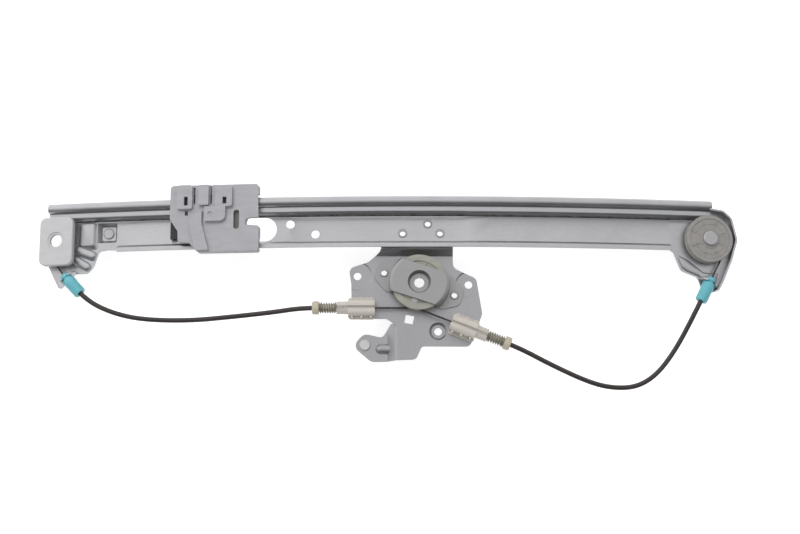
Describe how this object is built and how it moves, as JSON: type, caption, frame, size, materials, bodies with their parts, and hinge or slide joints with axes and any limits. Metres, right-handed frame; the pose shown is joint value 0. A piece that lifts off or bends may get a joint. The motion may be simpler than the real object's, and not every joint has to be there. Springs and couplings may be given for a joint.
{
  "type": "window regulator",
  "caption": "Cable-drum window regulator with a curved guide rail, sliding glass carrier, motor plate and return pulley.",
  "frame": {"origin": "axis of the cable drum at the level of the motor plate's back face", "axes": "+X along the rail towards the return pulley, +Z out of the face that carries the glass, +Y from the motor towards the rail"},
  "size_m": [0.5677, 0.1647, 0.051],
  "materials": {
    "zinc_steel": "galvanised, matte",
    "plate_steel": "galvanised, matte",
    "cover_steel": "galvanised, matte",
    "rivet_steel": "zinc plated",
    "stud_steel": "zinc plated",
    "pale_plastic": "moulded, matte",
    "pulley_plastic": "moulded, matte",
    "drum_plastic": "moulded, matte",
    "cable_steel": "stranded wire",
    "housing_plastic": "extruded, satin",
    "sleeve_plastic": "moulded, satin",
    "natural_plastic": "moulded, natural",
    "spring_steel": "drawn wire",
    "cap_plastic": "moulded, natural",
    "carrier_plastic": "moulded, matte",
    "shoe_plastic": "moulded, satin"
  },
  "bodies": {
    "frame": {"guide_rail": "zinc_steel", "motor_plate": "plate_steel", "drum_cover": "cover_steel", "plate_rivets": "rivet_steel", "cover_rivets": "rivet_steel", "rail_stud": "stud_steel", "arm_stud": "stud_steel", "pulley_axle": "stud_steel", "cable_deflector": "pale_plastic", "rail_cable": "cable_steel", "left_drum_cable": "cable_steel", "right_drum_cable": "cable_steel", "left_conduit": "housing_plastic", "right_conduit": "housing_plastic", "left_sleeve": "sleeve_plastic", "right_sleeve": "sleeve_plastic", "left_cable_guide": "natural_plastic", "right_cable_guide": "natural_plastic", "left_tension_spring": "spring_steel", "right_tension_spring": "spring_steel"},
    "carrier": {"glass_carrier": "carrier_plastic", "bead_shoe": "shoe_plastic", "edge_shoe": "shoe_plastic", "carrier_cable_ends": "cable_steel"},
    "drum": {"cable_drum": "drum_plastic", "drum_nipple": "cable_steel"},
    "pulley": {"return_pulley": "pulley_plastic"},
    "left_cap": {"left_tension_cap": "cap_plastic"},
    "right_cap": {"right_tension_cap": "cap_plastic"}
  },
  "joints": [
    {"name": "carrier_travel", "type": "hinge", "parent": "frame", "child": "carrier", "pos_m": [0, 0.05, -1.49], "axis": [0, 1, 0], "range_deg": [-1.5, 12.8]},
    {"name": "drum_spin", "type": "hinge", "parent": "frame", "child": "drum", "pos_m": [0, 0, 0.007], "axis": [0, 0, 1], "range_deg": [-965.8, 114.9]},
    {"name": "pulley_spin", "type": "hinge", "parent": "frame", "child": "pulley", "pos_m": [0.23498, 0.0377, -0.00244], "axis": [0.156, 0, 0.9878], "range_deg": [-1206.8, 143.2]},
    {"name": "left_cap_slide", "type": "slide", "parent": "frame", "child": "left_cap", "axis": [1, 0, 0], "range_m": [0, 0.004], "stiffness_N_per_m": 1000, "springref_m": -0.005, "deforming": ["left_tension_spring"]},
    {"name": "right_cap_slide", "type": "slide", "parent": "frame", "child": "right_cap", "axis": [-0.9304, 0.3665, 0], "range_m": [0, 0.004], "stiffness_N_per_m": 1000, "springref_m": -0.005, "deforming": ["right_tension_spring"]}
  ],
  "couplings": [
    {"joint": "drum_spin", "follows": "carrier_travel", "ratio": -75.3},
    {"joint": "pulley_spin", "follows": "carrier_travel", "ratio": -94.125}
  ]
}
